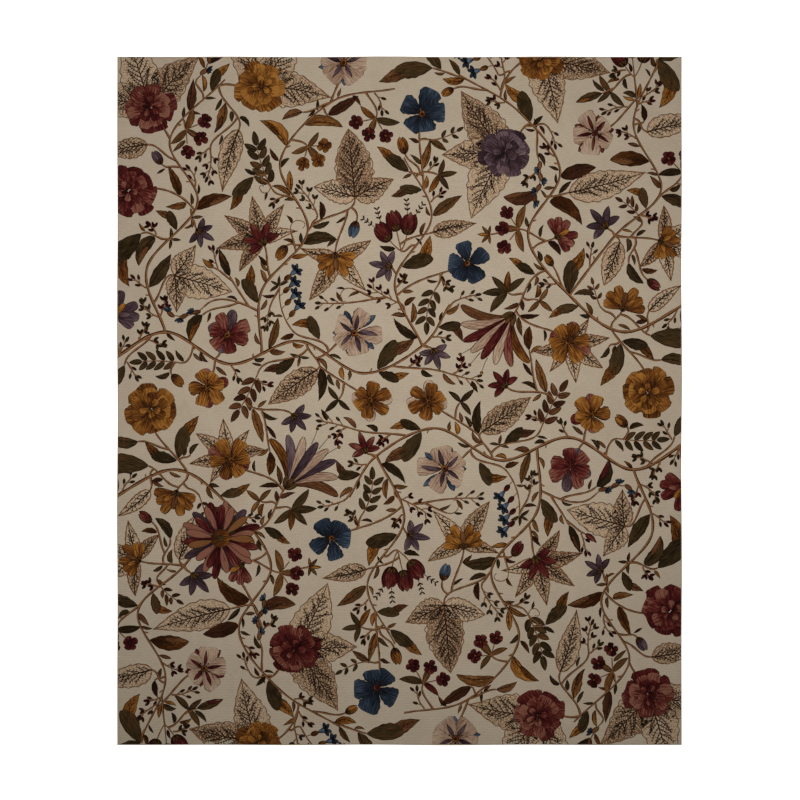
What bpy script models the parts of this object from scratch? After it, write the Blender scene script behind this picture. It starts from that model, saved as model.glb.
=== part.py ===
"""A hand-knotted wool rug lying flat, in metres: +Z up, +Y towards the rug's far end.

The origin is the middle of the underside. The rug is one cloth, so it is one solid: pile and
foundation together, with slightly uneven edges and the low ripples that folding has left.
"""

import math

import bmesh
import bpy

# Driving dimensions
WIDTH = 2.46
LENGTH = 3.00
THICKNESS = 0.008
EDGE_ROUND = 0.0035
EDGE_STEPS = 2

# The outline wanders by about this much to each side of a straight line
EDGE_WANDER = 0.0016
WAVES_PER_SIDE = 3.5

# Cells of the top face, fine enough for the ripples below
CELLS_ACROSS = 24
CELLS_ALONG = 44

# Low ripples left by folding: centre, length along X and width along Y, height, and turn
RIPPLE_COLUMNS = ("x", "y", "length", "width", "height", "turn_deg")
RIPPLES = (
    (0.62, 0.03, 0.55, 0.085, 0.0013, -3.0),
    (0.86, 0.45, 0.34, 0.090, 0.0011, -8.0),
    (-0.30, 0.02, 0.60, 0.080, 0.0007, 2.0),
    (0.20, -0.66, 0.50, 0.090, 0.0010, -4.0),
    (0.74, -0.76, 0.36, 0.085, 0.0011, -6.0),
    (-0.66, -0.40, 0.40, 0.095, 0.0006, 3.0),
    (-0.10, 0.88, 0.45, 0.090, 0.0006, 1.0),
)

# Wool pile seen from above
GROUND_COLOUR = (0.39, 0.32, 0.23, 1.0)
WOOL_ROUGHNESS = 0.95


def clear_scene():
    for old in list(bpy.data.objects):
        bpy.data.objects.remove(old)


def wander(share, phase):
    """How far a side strays outwards at this share of its length; nothing at its two corners."""
    wave = math.sin(math.tau * WAVES_PER_SIDE * share + phase)
    slow = math.sin(math.pi * share)
    return EDGE_WANDER * slow * wave


def ripple_height(x, y):
    """The sum of the ripples at a point of the top face."""
    total = 0.0
    for row in RIPPLES:
        ripple = dict(zip(RIPPLE_COLUMNS, row))
        turn = math.radians(ripple["turn_deg"])
        dx, dy = x - ripple["x"], y - ripple["y"]
        along = dx * math.cos(turn) + dy * math.sin(turn)
        across = dy * math.cos(turn) - dx * math.sin(turn)
        reach = (along / ripple["length"]) ** 2 + (across / ripple["width"]) ** 2
        total += ripple["height"] * math.exp(-reach)
    return total


def place(u, v):
    """The plan position of a point at shares u across and v along, each from 0 to 1."""
    left = -WIDTH / 2 - wander(v, 0.4)
    right = WIDTH / 2 + wander(v, 2.1)
    near = -LENGTH / 2 - wander(u, 1.2)
    far = LENGTH / 2 + wander(u, 3.7)
    return left + (right - left) * u, near + (far - near) * v


def rug_mesh():
    """Grid, drawn to the outline, extruded down to a flat underside and rounded at the top edge."""
    bm = bmesh.new()
    bmesh.ops.create_grid(bm, x_segments=CELLS_ACROSS, y_segments=CELLS_ALONG, size=0.5)
    for vert in bm.verts:
        x, y = place(vert.co.x + 0.5, vert.co.y + 0.5)
        vert.co = (x, y, THICKNESS + ripple_height(x, y))
    rim = [edge for edge in bm.edges if edge.is_boundary]
    made = bmesh.ops.extrude_face_region(bm, geom=bm.faces[:], use_keep_orig=True)
    for item in made["geom"]:
        if isinstance(item, bmesh.types.BMVert):
            item.co.z = 0.0
    bmesh.ops.recalc_face_normals(bm, faces=bm.faces[:])
    bmesh.ops.bevel(
        bm,
        geom=rim,
        offset=EDGE_ROUND,
        segments=EDGE_STEPS,
        profile=0.5,
        affect="EDGES",
    )
    bmesh.ops.recalc_face_normals(bm, faces=bm.faces[:])
    mesh = bpy.data.meshes.new("rug")
    bm.to_mesh(mesh)
    bm.free()
    mesh.shade_smooth()
    mesh.set_sharp_from_angle(angle=math.radians(50))
    return mesh


def wool_material():
    material = bpy.data.materials.new("wool_pile")
    material.use_nodes = True
    shader = material.node_tree.nodes["Principled BSDF"]
    shader.inputs["Base Color"].default_value = GROUND_COLOUR
    shader.inputs["Roughness"].default_value = WOOL_ROUGHNESS
    shader.inputs["Metallic"].default_value = 0.0
    return material


def make_rug():
    mesh = rug_mesh()
    mesh.materials.append(wool_material())
    rug = bpy.data.objects.new("rug", mesh)
    bpy.context.scene.collection.objects.link(rug)
    return rug


clear_scene()
make_rug()
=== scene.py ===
# %% [markdown]
# A hand-knotted wool rug with a flower pattern over its whole field.
#
# The real rug is one cloth: rows of wool knots on a cotton foundation, clipped low and lying flat.
# Its pattern is nothing but dyed knots in place of undyed ones. So this lesson first lays the undyed
# ground as one fine sheet, then grows the pattern as numbers, and at last lets Geometry Nodes turn
# those numbers into thin patches and ribbons of dyed pile that follow the sheet.
#
# Everything is in metres: +Z is up out of the pile, +Y is the far end, and the floor is at zero.

import math

import bmesh
import bpy
import numpy as np
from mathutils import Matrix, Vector
from mathutils.bvhtree import BVHTree


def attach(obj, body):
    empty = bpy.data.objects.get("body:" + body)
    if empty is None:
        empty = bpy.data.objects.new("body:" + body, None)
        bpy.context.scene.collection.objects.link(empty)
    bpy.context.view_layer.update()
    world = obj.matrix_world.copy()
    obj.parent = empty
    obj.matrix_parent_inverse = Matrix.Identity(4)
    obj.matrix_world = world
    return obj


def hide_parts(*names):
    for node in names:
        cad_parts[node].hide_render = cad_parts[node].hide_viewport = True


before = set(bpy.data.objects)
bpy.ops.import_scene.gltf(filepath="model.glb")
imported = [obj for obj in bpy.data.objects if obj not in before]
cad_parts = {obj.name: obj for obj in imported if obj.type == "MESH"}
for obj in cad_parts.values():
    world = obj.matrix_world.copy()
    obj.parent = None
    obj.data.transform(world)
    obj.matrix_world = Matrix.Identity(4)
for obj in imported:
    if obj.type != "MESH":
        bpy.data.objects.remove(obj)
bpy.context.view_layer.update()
rug_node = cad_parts["rug"]
WIDTH = 2.46
LENGTH = 3.00

# %% [markdown]
# The camera looks straight down, as it did for the photo, with the far end of the rug at the top.
# A long lens from high up keeps the four sides parallel. In the photo the rug is 564 pixels wide
# in a frame of 800, which gives the size of a pixel on the floor and from that the lens.

# %% Set the camera above the rug
FRAME_PIXELS = 800
RUG_PIXELS_WIDE = 564.2
CAMERA_HEIGHT = 12.0
SENSOR_MM = 36.0
# How far the middle of the rug is from the middle of the frame, in pixels to the right and down
RUG_OFF_CENTRE = (-0.5, 0.8)

pixel = WIDTH / RUG_PIXELS_WIDE
camera_data = bpy.data.cameras.new("camera")
camera_data.sensor_width = SENSOR_MM
camera_data.lens = SENSOR_MM * CAMERA_HEIGHT / (FRAME_PIXELS * pixel)
camera_data.clip_end = 60.0
camera = bpy.data.objects.new("camera", camera_data)
camera.location = (-RUG_OFF_CENTRE[0] * pixel, RUG_OFF_CENTRE[1] * pixel, CAMERA_HEIGHT)
bpy.context.scene.collection.objects.link(camera)
bpy.context.scene.camera = camera
print("one pixel is", round(pixel * 1000, 2), "mm; lens", round(camera_data.lens, 1), "mm")

# %% [markdown]
# Four helpers serve the trees of nodes below. One turns the hex colour that a dyer would pick from
# a screen into the linear values that Blender mixes. One adds a node of any kind, sets its
# properties, and feeds its inputs with plain values, with sockets, or with whole nodes, of which
# it takes the first output. One works down a table of maths, and one opens a group with its sockets.

# %% Helpers for colours and nodes
MATH = "ShaderNodeMath"


def linear(hex_colour):
    """An sRGB hex colour as linear red, green, blue and alpha."""
    parts = [int(hex_colour[i : i + 2], 16) / 255 for i in (0, 2, 4)]
    return tuple(c / 12.92 if c <= 0.04045 else ((c + 0.055) / 1.055) ** 2.4 for c in parts) + (1.0,)


def add(tree, kind, feeds=None, **settings):
    """Add a node to a tree, with its settings and whatever feeds its inputs."""
    made = tree.nodes.new(kind)
    for name, value in settings.items():
        setattr(made, name, value)
    for key, value in (feeds or {}).items():
        if isinstance(value, bpy.types.Node):
            value = value.outputs[0]
        if isinstance(value, bpy.types.NodeSocket):
            tree.links.new(value, made.inputs[key])
        else:
            made.inputs[key].default_value = value
    return made


def run_rule(tree, rule, known):
    """Add a Math node for each row (name, operation, terms...) and return the values by name."""
    for name, operation, *terms in rule:
        feeds = {i: known.get(term, term) for i, term in enumerate(terms)}
        known[name] = add(tree, MATH, feeds, operation=operation)
    return known


def new_tree(name, kind, inputs, outputs):
    """A node group with named sockets, given as (label, socket type, default or None)."""
    tree = bpy.data.node_groups.new(name, kind)
    for way, rows in (("INPUT", inputs), ("OUTPUT", outputs)):
        for label, socket_type, value in rows:
            item = tree.interface.new_socket(label, in_out=way, socket_type=socket_type)
            if value is not None:
                item.default_value = value
    return tree, tree.nodes.new("NodeGroupInput"), tree.nodes.new("NodeGroupOutput")


# %% [markdown]
# Every dye is knotted in the same wool, so one group gives all of them the same pile. A knot of a
# fine rug is about 2 mm across, which is half a pixel here, so the rows of knots are drawn 7 mm
# apart to show at all. Each row breaks up into short dashes. Abrash is the weaver's word for the
# soft bands where one batch of yarn took the dye a little darker than the next.
# The group returns a factor to multiply the dye by, and a height for the bump. Where rows, dashes and
# knots sit low, the factor darkens the dye: painted shade in the hollows of the pile. The abrash
# bands and a faint mottle are the wool's own colour.

# %% The pile that all dyes share
ROW_PITCH = 0.007
# Size of each noise across and along the rug in metres, its detail, and what sets it apart
PILE_NOISES = {
    "dashes": (0.022, 0.0045, 1.0, 3.0),
    "knots": (0.0042, 0.0042, 1.0, 9.0),
    "abrash": (1.6, 0.16, 2.0, 5.0),
    "mottle": (0.035, 0.035, 2.0, 1.0),
}

pile_group, pile_in, pile_out = new_tree(
    "Clipped pile",
    "ShaderNodeTree",
    [],
    [("Shade and abrash", "NodeSocketFloat", None), ("Height", "NodeSocketFloat", None)],
)
place = add(pile_group, "ShaderNodeTexCoord").outputs["Object"]
pile = {"y": add(pile_group, "ShaderNodeSeparateXYZ", {0: place}).outputs[1]}
for name, (size_x, size_y, detail, offset) in PILE_NOISES.items():
    stretched = add(
        pile_group,
        "ShaderNodeMapping",
        {0: place, "Scale": (1 / size_x, 1 / size_y, 0.0), "Location": (offset, offset * 0.7, 0.0)},
    )
    feeds = {"Vector": stretched, "Scale": 1.0, "Detail": detail}
    pile[name] = add(pile_group, "ShaderNodeTexNoise", feeds)
# Rows, dashes and knots darken the dye where they make the pile low: painted shade. Abrash and mottle are
# dye.
PILE_RULE = (
    ("phase", "MULTIPLY", "y", math.tau / ROW_PITCH),
    ("wobble", "MULTIPLY_ADD", "dashes", 5.0, "phase"),
    ("rows", "SINE", "wobble"),
    ("bright_1", "MULTIPLY_ADD", "rows", 0.05, 0.64),
    ("bright_2", "MULTIPLY_ADD", "dashes", 0.22, "bright_1"),
    ("bright_3", "MULTIPLY_ADD", "knots", 0.34, "bright_2"),
    ("bright_4", "MULTIPLY_ADD", "abrash", 0.10, "bright_3"),
    ("pile_shade_and_abrash", "MULTIPLY_ADD", "mottle", 0.06, "bright_4"),
    ("high_1", "MULTIPLY_ADD", "rows", 0.25, 0.5),
    ("high_2", "MULTIPLY_ADD", "dashes", 0.5, "high_1"),
    ("height", "MULTIPLY_ADD", "knots", 0.6, "high_2"),
)
run_rule(pile_group, PILE_RULE, pile)
pile_group.links.new(pile["pile_shade_and_abrash"].outputs[0], pile_out.inputs["Shade and abrash"])
pile_group.links.new(pile["height"].outputs[0], pile_out.inputs["Height"])
print("pile group:", len(pile_group.nodes), "nodes")

# %% [markdown]
# Wool scatters light softly from thousands of fibre ends, so it has no gloss at all, only a faint
# sheen where the pile is seen edge on. Every finish below ends in the same few nodes: the dye is
# multiplied by the pile's factor, which is painted shade in the pile's hollows plus the abrash, and
# the pile's height makes the bump.

# %% Finish any dye as clipped wool
WOOL_LOOK = {
    "Roughness": 0.95,
    "Sheen Weight": 0.05,
    "Sheen Roughness": 0.5,
    "Specular IOR Level": 0.04,
}
BUMP_DISTANCE = 0.0012
BUMP_STRENGTH = 0.6


def wool_material(name):
    """An empty wool material, and a function that finishes it with its dye's colour socket."""
    material = bpy.data.materials.new(name)
    material.use_nodes = True
    tree = material.node_tree
    shader = tree.nodes["Principled BSDF"]
    for label, value in WOOL_LOOK.items():
        shader.inputs[label].default_value = value

    def finish(dye):
        pile_here = add(tree, "ShaderNodeGroup", node_tree=pile_group)
        lit = add(
            tree,
            "ShaderNodeVectorMath",
            {0: dye, "Scale": pile_here.outputs["Shade and abrash"]},
            operation="SCALE",
        )
        bump = add(
            tree,
            "ShaderNodeBump",
            {"Height": pile_here.outputs["Height"], "Distance": BUMP_DISTANCE, "Strength": BUMP_STRENGTH},
        )
        tree.links.new(lit.outputs[0], shader.inputs["Base Color"])
        tree.links.new(bump.outputs[0], shader.inputs["Normal"])
        return material

    return tree, finish


# %% [markdown]
# The ground is undyed ivory wool with a touch of grey brown, a little uneven from fleece to fleece.
# Two near colours are mixed by a soft noise about a hand wide.

# %% Undyed ivory wool for the ground
IVORY_LIGHT = "ae9f8b"
IVORY_DARK = "9f907b"
FLEECE_SIZE = 0.12

ground_tree, finish_ground = wool_material("undyed_ivory_wool_pile")
rug_place = add(ground_tree, "ShaderNodeTexCoord").outputs["Object"]
feeds = {"Vector": rug_place, "Scale": 1 / FLEECE_SIZE, "Detail": 3.0}
fleece = add(ground_tree, "ShaderNodeTexNoise", feeds)
ivory = add(
    ground_tree,
    "ShaderNodeMix",
    {0: fleece.outputs[0], 6: linear(IVORY_DARK), 7: linear(IVORY_LIGHT)},
    data_type="RGBA",
)
ground_wool = finish_ground(ivory.outputs[2])
print("made", ground_wool.name)

# %% [markdown]
# The ground sheet stands for the CAD rug, so it takes its outline and its low ripples from it:
# rays from the sides find the four edges, and rays from above find the height of the top. The CAD
# mesh is coarse, so the height is averaged over a few centimetres. Where the rug was folded for
# storage, narrow creases remain, too fine for the CAD model: a table gives them.

# %% Read the outline and the ripples of the CAD rug
RAY_HEIGHT = 0.0038
TOP_AVERAGE = 0.03
CREASE_SWAY = 0.006
CREASE_COLUMNS = ("x", "y", "length", "width", "height", "turn_deg")
CREASES = (
    (0.86, 0.02, 0.36, 0.015, 0.00055, -1.5),
    (1.02, 0.46, 0.20, 0.014, 0.00045, -4.0),
    (0.46, -0.70, 0.26, 0.015, 0.00055, 2.0),
    (0.50, -0.78, 0.22, 0.014, -0.00040, -5.0),
    (-0.16, 0.40, 0.12, 0.014, 0.00045, 6.0),
    (0.00, 0.70, 0.30, 0.016, 0.00035, 88.0),
    (-0.62, -0.02, 0.40, 0.016, 0.00040, 1.0),
    (-0.90, -0.76, 0.24, 0.015, 0.00040, -3.0),
    (-0.50, 0.86, 0.30, 0.016, 0.00035, 2.5),
)

rug_surface = BVHTree.FromPolygons(
    [v.co for v in rug_node.data.vertices],
    [p.vertices for p in rug_node.data.polygons],
)


def edge_from(start, direction):
    """Where a ray that comes in from outside meets the rug's side."""
    return rug_surface.ray_cast(Vector(start), Vector(direction))[0]


def cad_top(x, y):
    """The height of the CAD rug's top face, averaged over a few places around this one."""
    x = min(max(x, -WIDTH / 2 + 0.008), WIDTH / 2 - 0.008)
    y = min(max(y, -LENGTH / 2 + 0.008), LENGTH / 2 - 0.008)
    reach = min(TOP_AVERAGE, WIDTH / 2 - 0.006 - abs(x), LENGTH / 2 - 0.006 - abs(y))
    total = 0.0
    for dx, dy in ((0, 0), (reach, 0), (-reach, 0), (0, reach), (0, -reach)):
        total += rug_surface.ray_cast(Vector((x + dx, y + dy, 1.0)), Vector((0, 0, -1)))[0].z
    return total / 5


def crease_height(x, y):
    """What the narrow creases add at a place of the top face."""
    total = 0.0
    for row in CREASES:
        crease = dict(zip(CREASE_COLUMNS, row))
        turn = math.radians(crease["turn_deg"])
        dx, dy = x - crease["x"], y - crease["y"]
        along = dx * math.cos(turn) + dy * math.sin(turn)
        across = dy * math.cos(turn) - dx * math.sin(turn) + CREASE_SWAY * math.sin(along * 17)
        falloff = (along / crease["length"]) ** 2 + (across / crease["width"]) ** 2
        total += crease["height"] * math.exp(-falloff)
    return total


# %% [markdown]
# The sheet is a grid of about 9 mm cells. Its outermost rings are drawn close together and run down
# the side in a quarter round, since clipped pile leans outwards a little at an edge. The last ring
# lies on the floor, and one flat face closes the underside.

# %% Lay the ground sheet
CELL = 0.0094
# Rings of the edge from the floor upwards: inset from the outline, and share of the height
EDGE_RINGS = ((0.0, 0.0), (0.0, 0.52), (0.0006, 0.74), (0.0018, 0.90), (0.0038, 0.98), (0.0075, 1.0))


def ring_positions(size):
    """Places along one side, each as share of the size, inset in metres and share of the height."""
    count = int(size / CELL)
    inner = [(i / count, 0.0, 1.0) for i in range(1, count)]
    low = [(0.0, inset, share) for inset, share in EDGE_RINGS]
    high = [(1.0, -inset, share) for inset, share in reversed(EDGE_RINGS)]
    return low + inner + high


def ground_mesh():
    """The grid of the top and the sides, drawn between the four edges of the CAD rug."""
    columns = ring_positions(WIDTH)
    rows = ring_positions(LENGTH)
    lefts = [edge_from((-3, (v - 0.5) * (LENGTH - 0.02), RAY_HEIGHT), (1, 0, 0)).x for v, _, _ in rows]
    rights = [edge_from((3, (v - 0.5) * (LENGTH - 0.02), RAY_HEIGHT), (-1, 0, 0)).x for v, _, _ in rows]
    nears = [edge_from(((u - 0.5) * (WIDTH - 0.02), -3, RAY_HEIGHT), (0, 1, 0)).y for u, _, _ in columns]
    fars = [edge_from(((u - 0.5) * (WIDTH - 0.02), 3, RAY_HEIGHT), (0, -1, 0)).y for u, _, _ in columns]
    points = []
    for j, (v, inset_y, share_y) in enumerate(rows):
        for i, (u, inset_x, share_x) in enumerate(columns):
            x = lefts[j] + (rights[j] - lefts[j]) * u + inset_x
            y = nears[i] + (fars[i] - nears[i]) * v + inset_y
            share = min(share_x, share_y)
            points.append((x, y, share * (cad_top(x, y) + crease_height(x, y)) if share else 0.0))
    wide = len(columns)
    faces = [
        (j * wide + i, j * wide + i + 1, (j + 1) * wide + i + 1, (j + 1) * wide + i)
        for j in range(len(rows) - 1)
        for i in range(wide - 1)
    ]
    mesh = bpy.data.meshes.new("ground")
    mesh.from_pydata(points, [], faces)
    return mesh


ground = bpy.data.objects.new("ground", ground_mesh())
bpy.context.scene.collection.objects.link(ground)
bm = bmesh.new()
bm.from_mesh(ground.data)
bmesh.ops.remove_doubles(bm, verts=bm.verts[:], dist=0.00002)
bmesh.ops.holes_fill(bm, edges=[edge for edge in bm.edges if edge.is_boundary], sides=0)
bmesh.ops.recalc_face_normals(bm, faces=bm.faces[:])
bm.to_mesh(ground.data)
bm.free()
ground.data.shade_smooth()
ground.data.set_sharp_from_angle(angle=math.radians(60))
ground.data.materials.append(ground_wool)
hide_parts("rug")
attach(ground, "root")
print("ground sheet:", len(ground.data.polygons), "faces")

# %% [markdown]
# The pattern is drawn as numbers before any mesh is made. It is crewelwork in style: winding stems
# that carry fancy flowers and leaves of many kinds, spread evenly over the field. Every petal, leaf
# and berry is one patch: a base point and heading, a length and width, how it bends, and two
# exponents that say how blunt or pointed its base and tip are. Every stem and vein is a line with
# a thickness. A sketch collects the patches and lines of one motif, so that it can be tried
# for room first and sewn down only if it fits.

# %% Patches, lines and sketches
PATCH_COLUMNS = (
    "x", "y", "turn", "length", "width", "base", "tip",
    "bend", "lean", "wave", "shade", "level",
)
rng = np.random.default_rng(11)


class Sketch:
    """The patches, each with its dye, and the lines, each with its yarn, of one motif."""

    def __init__(self):
        self.patches = []
        self.lines = []

    def patch(
        self, dye, place, length, width, base=0.5, tip=0.5,
        bend=0.0, lean=0.0, wave=0.0, shade=0.5, level=0.3,
    ):
        self.patches.append((dye, *place, length, width, base, tip, bend, lean, wave, shade, level))

    def line(self, yarn, points, start, end, level=0.3):
        self.lines.append((yarn, np.asarray(points, dtype=float), start, end, level))


def step(place, along, across=0.0, turn=0.0):
    """Move from a place (x, y, heading) along and across its heading, then turn."""
    x, y, heading = place
    c, s = math.cos(heading), math.sin(heading)
    return (x + along * c - across * s, y + along * s + across * c, heading + turn)


def arc(place, length, bend, share=1.0):
    """The place at a share of an arc that turns by bend over its whole length."""
    x, y, heading = place
    half = bend * share / 2
    chord = length * share * (math.sin(half) / half if abs(half) > 1e-6 else 1.0)
    return (
        x + chord * math.cos(heading + half),
        y + chord * math.sin(heading + half),
        heading + bend * share,
    )


def arc_line(place, length, bend, count):
    """Points along an arc, from its start to its end."""
    return [arc(place, length, bend, i / (count - 1))[:2] for i in range(count)]


def peak_value(base, tip):
    """The highest value of share**base * (1 - share)**tip."""
    peak = base / (base + tip)
    return peak**base * (1 - peak) ** tip


def fullness(share, base, tip):
    """Half-width of a patch at a share of its length, where the widest place counts 1."""
    share = np.clip(share, 0, 1)
    return share**base * (1 - share) ** tip / peak_value(base, tip)


def turned(place, turn):
    """The same spot with another heading."""
    return (place[0], place[1], place[2] + turn)


# %% [markdown]
# Leaves come in three kinds and in small fans. Plain ones are dark olive to rust, with thin ribs,
# and some show a gold underside. Curled ones are folded over, so that the tip is all underside. Lace
# leaves are left pale, edged with copper yarn, and filled with dark feathered veins: a rib, side
# veins that lean towards the tip, and short barbs on those. All lengths are in metres.
# Because every place on a leaf is a share of its arc, veins and edges bend with the leaf.

# %% Leaves
VEIN_PITCH = 0.024
BARB_PITCH = 0.0125
# Below these lengths a leaf has no ribs, or is never turned over
RIBS_FROM = 0.08
TURNOVER_FROM = 0.11
# Thickness of ribs and veins, at the root and at the end
MIDDLE_RIB = (0.0038, 0.0018)
SIDE_RIB = (0.0028, 0.0016)
MIDDLE_VEIN = (0.0070, 0.0034)
SIDE_VEIN = (0.0046, 0.0024)
BARB = (0.0034, 0.0018)
LACE_EDGE = (0.0052, 0.0036)


def ribs(sketch, place, size, bend, width, level):
    """A middle rib and side ribs that bow towards the tip."""
    middle = [arc(place, size, bend, s)[:2] for s in (0.02, 0.25, 0.5, 0.75, 0.93)]
    sketch.line("rib", middle, *MIDDLE_RIB, level)
    count = int(size / VEIN_PITCH)
    for i in range(1, count):
        share = i / (count + 1)
        reach = width * 0.42 * math.sin(math.pi * share) ** 0.7
        for side in (-1, 1):
            root = turned(arc(place, size, bend, share), side * rng.uniform(0.6, 0.9))
            sketch.line("rib", arc_line(root, reach, -side * 0.5, 3), *SIDE_RIB, level)


def leaf(sketch, place, size):
    """A plain leaf with its ribs, and perhaps its gold underside showing past the rib."""
    bend = rng.uniform(-1.2, 1.2)
    width = size * rng.uniform(0.26, 0.42)
    dye = rng.choice(("leaf", "leaf", "leaf", "gold", "husk"))
    shade = rng.choice((0.1, 0.22, 0.3, 0.45, 0.62, 0.8))
    turnover = rng.random() < 0.4 and size > TURNOVER_FROM
    base, tip = rng.uniform(0.55, 0.95), rng.uniform(0.8, 1.3)
    sketch.patch(dye, place, size, width, base, tip, bend, rng.uniform(-0.4, 0.4), 0.05, shade, 0.35)
    if size > RIBS_FROM:
        ribs(sketch, place, size, bend, width if dye == "gold" else 0.5 * width, 0.45)
    if turnover:
        share = rng.uniform(0.25, 0.42)
        side = math.copysign(1, bend)
        start = step(arc(place, size, bend, share), 0, side * width * 0.2, -side * 0.12)
        other = rng.choice(("gold", "husk"))
        sketch.patch(
            other, start, size * (1 - share), width * 0.5, 0.6, 0.9,
            bend * 0.75, 0, 0, rng.uniform(0.3, 0.8), 0.5,
        )


def curled_leaf(sketch, place, size):
    """A dark leaf folded over on itself, so that its tip shows the gold underside with its ribs."""
    side = rng.choice((-1, 1))
    bend = side * rng.uniform(0.2, 0.7)
    under = rng.choice(("gold", "gold", "husk"))
    fold = turned(arc(place, size * 0.62, bend, 0.66), side * rng.uniform(0.35, 1.0))
    turn_back = side * rng.uniform(-0.9, 0.9)
    sketch.patch(
        under, fold, size * 0.58, size * 0.24, 0.6, 1.1,
        turn_back, 0, 0.05, rng.uniform(0.3, 0.7), 0.35,
    )
    ribs(sketch, fold, size * 0.58, turn_back, size * 0.24, 0.45)
    shade = rng.uniform(0.1, 0.5)
    sketch.patch("leaf", place, size * 0.66, size * 0.30, 0.8, 0.55, bend, side * 0.4, 0.04, shade, 0.55)


def lace_leaf(sketch, place, size, bend=None, broad=None):
    """A pale leaf with a copper edge and dark feathered veins."""
    bend = rng.uniform(-0.8, 0.8) if bend is None else bend
    width = size * (rng.uniform(0.32, 0.46) if broad is None else broad)
    base, tip, lean = rng.uniform(0.5, 0.7), rng.uniform(0.95, 1.35), rng.uniform(-0.15, 0.15)
    sketch.patch("lace", place, size, width, base, tip, bend, lean, 0.05, rng.uniform(0.1, 0.9), 0.18)

    def half_width(share, side):
        return (width / 2) * (1 + side * lean) * float(fullness(share, base, tip))

    for side in (-1, 1):
        edge = []
        for i in range(19):
            share = i / 18
            reach = side * half_width(share, side) * (1 + 0.06 * math.sin(45 * share + side))
            edge.append(step(arc(place, size, bend, share), 0, reach)[:2])
        sketch.line("stem", edge, *LACE_EDGE, 0.28)
    middle = [arc(place, size, bend, s / 8 * 0.96)[:2] for s in range(9)]
    sketch.line("vein", middle, *MIDDLE_VEIN, 0.34)
    pairs = max(5, int(size / VEIN_PITCH))
    for i in range(pairs):
        for side in (-1, 1):
            share = 0.05 + 0.86 * (i + (0.35 if side > 0 else 0)) / pairs
            root = arc(place, size, bend, share)
            length = min(half_width(min(1, share + 0.12), side) * 1.15, size * 0.35)
            if length < 0.010:
                continue
            root = turned(root, side * rng.uniform(0.6, 1.05))
            length *= rng.uniform(0.75, 1.0)
            inward = -side * rng.uniform(0.1, 0.8)
            sketch.line("vein", arc_line(root, length, inward, 5), *SIDE_VEIN, 0.33)
            for k in range(1, 1 + int(length / BARB_PITCH)):
                twig = arc(root, length, inward, k * BARB_PITCH / length)
                for way in (-1, 1):
                    barb = turned(twig, way * rng.uniform(0.5, 1.1))
                    reach = rng.uniform(0.006, 0.015)
                    sketch.line("vein", arc_line(barb, reach, 0, 2), *BARB, 0.32)


def star_leaves(sketch, place, size, count=None, spread=2.9):
    """A fan of narrow leaves from one point."""
    count = int(rng.integers(3, 6)) if count is None else count
    tone = rng.uniform(0.1, 0.7)
    for i in range(count):
        turn = (i / (count - 1) - 0.5) * spread
        dye = "leaf" if rng.random() < 0.85 else "gold"
        length = size * rng.uniform(0.8, 1.15)
        sketch.patch(
            dye, turned(place, turn), length, length * 0.33, 0.7, 0.9,
            turn * 0.3, 0, 0, tone + rng.uniform(-0.12, 0.2), 0.4 + 0.02 * i,
        )


# %% [markdown]
# Flowers seen from the front are rings of petals about a centre. One helper lays a ring, a little
# uneven in angle, length and shade, as a weaver's petals are. A peony is five rings, each smaller
# and a little off the centre of the one below.

# %% Flowers seen from the front
DAISY_PETALS = 27
STAMENS = 9


def ring(
    sketch, place, radius, count, dye, shade, level,
    width=0.9, base=0.6, tip=0.25, inner=0.1, jitter=0.08, wave=0.0, lop=0.14,
):
    """Petals all round a centre, the longest ones towards the heading."""
    for i in range(count):
        angle = i / count * math.tau
        start = step(turned(place, angle + rng.uniform(-jitter, jitter)), radius * inner)
        length = radius * (1 - inner) * (1 + lop * math.cos(angle)) * rng.uniform(0.9, 1.08)
        sketch.patch(
            dye, start, length, radius * width * rng.uniform(0.85, 1.1),
            base, tip * rng.uniform(0.85, 1.5), rng.uniform(-0.3, 0.3), rng.uniform(-0.2, 0.2), wave,
            shade + rng.uniform(-0.2, 0.2), level + 0.02 * i,
        )


def disc(sketch, place, radius, dye, shade, level):
    """A round patch about a place."""
    sketch.patch(dye, step(place, -radius), 2 * radius, 2 * radius, 0.5, 0.5, shade=shade, level=level)


def stamens(sketch, place, radius):
    """Short threads with dark tips round a flower's eye."""
    for i in range(STAMENS):
        root = turned(place, math.tau * i / STAMENS)
        sketch.line("rib", [step(root, radius * 0.4)[:2], step(root, radius)[:2]], 0.0026, 0.0022, 0.86)
        disc(sketch, step(root, radius), 0.0036, "husk", 0.1, 0.9)


def peony(sketch, place, radius):
    """Five rings of petals, the upper ones drawn together off the centre."""
    dye = rng.choice(("gold", "madder"))
    shade = rng.uniform(0.35, 0.6)
    rows = (
        # share of the radius, petals, change of shade, level, how far the ring is off centre
        (1.0, 8, -0.10, 0.50, 0.0),
        (0.82, 7, 0.12, 0.68, 0.06),
        (0.60, 6, -0.12, 0.84, 0.12),
        (0.42, 5, 0.16, 0.98, 0.14),
        (0.24, 3, -0.20, 1.10, 0.14),
    )
    for share, count, change, level, off in rows:
        centre = step(place, radius * off, radius * rng.uniform(-0.06, 0.06), rng.uniform(0, 1.2))
        tone = shade + change
        ring(sketch, centre, radius * share, count, dye, tone, level, 0.74, 0.7, 0.26, 0.12, wave=0.08)


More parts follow.
